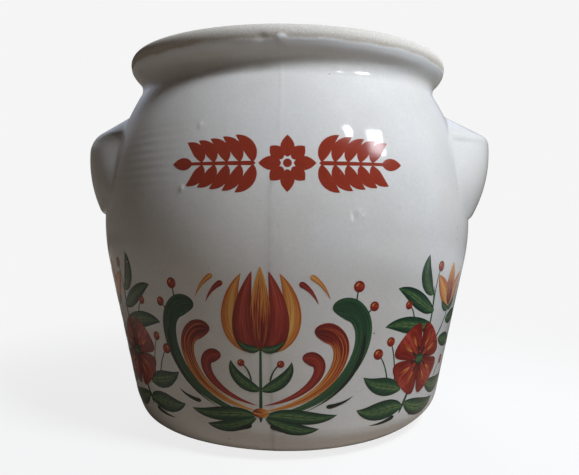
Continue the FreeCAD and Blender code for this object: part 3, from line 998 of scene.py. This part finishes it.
def make_enamel(name, stops, lengthwise, crosswise, streaks, veined=False):
    """Streaky enamel. Its colour also runs along the stroke, and from its middle to its edges."""
    material, graph = new_material(name)
    brush = graph.attribute("brush", "Vector")
    u, v, _ = graph.node("SeparateXYZ", Vector=brush).outputs
    edge = graph.math("ABSOLUTE", v)
    lane = graph.node("VectorMath", {"operation": "MULTIPLY"}, i0=brush, i1=BRUSH_RATE).outputs[0]
    hairs = graph.math("SUBTRACT", graph.noise(lane, scale=1.0, detail=3.0, roughness=0.6), 0.5)
    shade = graph.math("MULTIPLY_ADD", u, lengthwise, 0.5 - 0.5 * lengthwise)
    shade = graph.math("ADD", shade, graph.math("MULTIPLY_ADD", edge, crosswise, -0.5 * crosswise))
    shade = graph.math("ADD", shade, graph.times(hairs, streaks))
    colour = graph.ramp(shade, *stops)
    if veined:
        colour = graph.mix(leaf_veins(graph, u, edge), colour, GREEN_DEEP)
    place = millimetres(graph)
    worn = specks(graph, place, cells_per_mm=0.13, largest=0.36, smallest=-0.42, softness=0.1)
    colour = graph.mix(worn, colour, GLAZE_DEEP)
    shader = graph.node("BsdfPrincipled", Base_Color=colour, Roughness=0.16, IOR=1.45)
    graph.node("OutputMaterial", Surface=shader.outputs[0])
    return material


def make_enamels():
    """All enamels: stops of the colour, its runs along and across a stroke, streaks, veins or none."""
    greens = (0.15, GREEN_LIGHT), (0.45, GREEN), (0.8, GREEN_DEEP)
    dark_greens = (0.15, GREEN_DEEP), (0.55, GREEN), (0.95, GREEN_LIGHT)
    reds = (0.15, RED_LIGHT), (0.45, RED), (0.85, RED_DEEP)
    ochres = (0.2, OCHRE_LIGHT), (0.5, OCHRE), (0.85, OCHRE_DEEP)
    scrolls = (0.15, RED_DEEP), (0.4, RED), (0.62, OCHRE), (0.9, OCHRE_LIGHT)
    looks = {
        "vine": (dark_greens, 0.25, 0.1, 1.5),
        "leaf": (greens, 0.15, 0.75, 0.7, True),
        "red": (reds, -0.2, 0.35, 1.2),
        "ochre": (ochres, 0.2, 0.55, 1.0),
        "scroll": (scrolls, 0.55, 0.1, 1.4),
        "ink": (((0.3, INK), (0.9, INK_LIGHT)), 0.2, 0.2, 0.8),
        "brick": (((0.3, BRICK), (0.8, BRICK_LIGHT)), 0.1, 0.1, 0.8),
    }
    return {kind: make_enamel("enamel_" + kind, *look) for kind, look in looks.items()}


# Stage: floor, backdrop, light and camera

FLOOR_BOUNCE = (0.42, 0.355, 0.29)
FLOOR_BOUNCE_RIGHT = (0.08, 0.07, 0.06)
FLOOR_BOUNCE_FAR = (0.78, 0.77, 0.75)
FLOOR_GLOW = (0.80, 0.80, 0.80)
FLOOR_SHADE = (0.16, 0.16, 0.16)
BACKGROUND = (0.913, 0.913, 0.913)
AMBIENT = (0.027, 0.021, 0.017)
ROOM = (0.16, 0.14, 0.125)
SKY = (0.62, 0.69, 0.82)
DAYLIGHT = (0.88, 0.93, 1.0)
# The floor: half its side, and its drop below the foot ring, so that the two faces don't meet
FLOOR_HALF = 3000.0
FLOOR_DROP = 0.2
# Distances from the jar over which its shadow fades and reflections of the floor turn into the room
SHADOW_FADE = (130.0, 320.0)
HAZE_FADE = (400.0, 1600.0)
# Distances to the right over which the floor's bounce falls and then rises
BOUNCE_RIGHT_FADE = (20.0, 200.0)
BOUNCE_FAR_FADE = (200.0, 400.0)
# Parts of a reflected ray's way, back and up, over which the sky shows
SKY_BEHIND = (0.45, 0.95)
SKY_ABOVE = (0.1, 0.4)
# Height that the lamps look at
LAMP_TARGET = 130.0
# Lamps, and panes that only reflect: azimuth, elevation, distance, size, power in watts, turn
LAMPS = {
    "key": (44.5, 46, 750, (160, 160), 5.8),
    "side": (96, 34, 800, (400, 400), 1.6),
    "back": (197, 12, 800, (500, 400), 2.6),
}
PANES = {
    "pane_wide": (58.5, 30, 750, (120, 130), 1.1, -14),
    "pane_narrow": (40.7, 37, 750, (45, 65), 0.27),
    "pane_low": (36.5, 1.8, 750, (85, 55), 0.10, 12),
}


def seen_through(graph):
    """1 for camera rays, and for rays that passed through a clear solid."""
    path = graph.node("LightPath").outputs
    return graph.math("MAXIMUM", path["Is Camera Ray"], path["Is Transmission Ray"])


def make_floor_look():
    """A pale floor. Near the jar it takes its shadow, and further off it runs into the background."""
    material, graph = new_material("pale_floor")
    place = millimetres(graph)
    away = graph.node("VectorMath", {"operation": "LENGTH"}, i0=place).outputs["Value"]
    across = graph.node("SeparateXYZ", Vector=place).outputs["X"]
    shade, glow = graph.shader("BsdfDiffuse", FLOOR_SHADE), graph.shader("Emission", FLOOR_GLOW)
    near = graph.node("AddShader", i0=shade, i1=glow).outputs[0]
    shown = graph.blend(fade_in(graph, away, *SHADOW_FADE), near, graph.shader("Emission", BACKGROUND))
    bounce = graph.mix(fade_in(graph, across, *BOUNCE_RIGHT_FADE), FLOOR_BOUNCE, FLOOR_BOUNCE_RIGHT)
    bounce = graph.mix(fade_in(graph, across, *BOUNCE_FAR_FADE), bounce, FLOOR_BOUNCE_FAR)
    glossy = graph.node("LightPath").outputs["Is Glossy Ray"]
    haze = graph.times(glossy, fade_in(graph, away, *HAZE_FADE))
    unseen = graph.blend(haze, graph.shader("BsdfDiffuse", bounce), graph.shader("Emission", ROOM))
    graph.node("OutputMaterial", Surface=graph.blend(seen_through(graph), unseen, shown))
    return material


def make_floor():
    corners = FLOOR_HALF * np.array([(-1, -1, 0), (1, -1, 0), (1, 1, 0), (-1, 1, 0)])
    floor = make_object("floor", corners - (0, 0, FLOOR_DROP), [(0, 1, 2, 3)], [make_floor_look()])


def make_backdrop():
    """A plain pale backdrop. Reflections show a dim room instead, and the sky behind the jar."""
    world = bpy.data.worlds.new("studio")
    bpy.context.scene.world = world
    world.use_nodes = True
    graph = Graph(world.node_tree)
    glossy = graph.node("LightPath").outputs["Is Glossy Ray"]
    way = graph.node("SeparateXYZ", Vector=graph.node("TexCoord").outputs["Generated"])
    behind = fade_in(graph, way.outputs["Y"], *SKY_BEHIND)
    above = fade_in(graph, way.outputs["Z"], *SKY_ABOVE)
    room = graph.mix(graph.times(behind, above), ROOM, SKY)
    unseen = graph.mix(glossy, AMBIENT, room)
    colour = graph.mix(seen_through(graph), unseen, BACKGROUND)
    graph.node("OutputWorld", Surface=graph.shader("Background", colour))


def make_softbox(name, azimuth, elevation, distance, size, power, turn=0.0):
    """A rectangular lamp that looks at the jar, turned on its own axis."""
    lamp = bpy.data.lights.new(name, "AREA")
    lamp.shape = "RECTANGLE"
    lamp.size, lamp.size_y = (side * MM for side in size)
    lamp.energy = power
    lamp.color = DAYLIGHT
    box = bpy.data.objects.new(name, lamp)
    a, e = math.radians(azimuth), math.radians(elevation)
    way = Vector((math.sin(a) * math.cos(e), -math.cos(a) * math.cos(e), math.sin(e)))
    box.location = (Vector((0, 0, LAMP_TARGET)) + way * distance) * MM
    facing_jar = way.to_track_quat("Z", "Y").to_matrix()
    box.rotation_euler = (facing_jar @ Matrix.Rotation(math.radians(turn), 3, "Z")).to_euler()
    bpy.context.scene.collection.objects.link(box)
    return box


def make_lights():
    """Lamps that light the jar without a reflection, and panes that only reflect in its glaze."""
    for name, settings in LAMPS.items():
        make_softbox(name, *settings).visible_glossy = False
    for name, settings in PANES.items():
        make_softbox(name, *settings).visible_diffuse = False


def make_camera():
    lens = bpy.data.cameras.new("photo_camera")
    lens.sensor_width = SENSOR_WIDTH
    lens.lens = FOCAL_PX / IMAGE_WIDTH * SENSOR_WIDTH
    lens.shift_x = (IMAGE_WIDTH / 2 - AXIS_PX) / IMAGE_WIDTH
    lens.shift_y = (HORIZON_PX - IMAGE_HEIGHT / 2) / IMAGE_WIDTH
    lens.clip_start = NEAR_CLIP * MM
    camera = bpy.data.objects.new("photo_camera", lens)
    level = Matrix.Rotation(math.radians(90), 4, "X")
    roll = Matrix.Rotation(math.radians(CAMERA_ROLL), 4, "Z")
    place = Matrix.Translation((0, -CAMERA_DISTANCE * MM, CAMERA_HEIGHT * MM))
    camera.matrix_world = place @ level @ roll
    bpy.context.scene.collection.objects.link(camera)
    bpy.context.scene.camera = camera


def main():
    bpy.context.scene.view_settings.view_transform = "Standard"
    make_camera()
    make_backdrop()
    make_floor()
    make_lights()
    glaze = make_glaze()
    make_jar(glaze)
    make_lug("right_lug_glazed", "right_lug", RIGHT_LUG, glaze)
    make_lug("left_lug_glazed", "left_lug", LEFT_LUG, glaze)
    enamels = make_enamels()
    paint_emblem(enamels)
    paint_bouquet(enamels)
    paint_spray("right_spray", SPRAY_PLACES[0], enamels)
    paint_spray("left_spray", SPRAY_PLACES[1], enamels)


main()
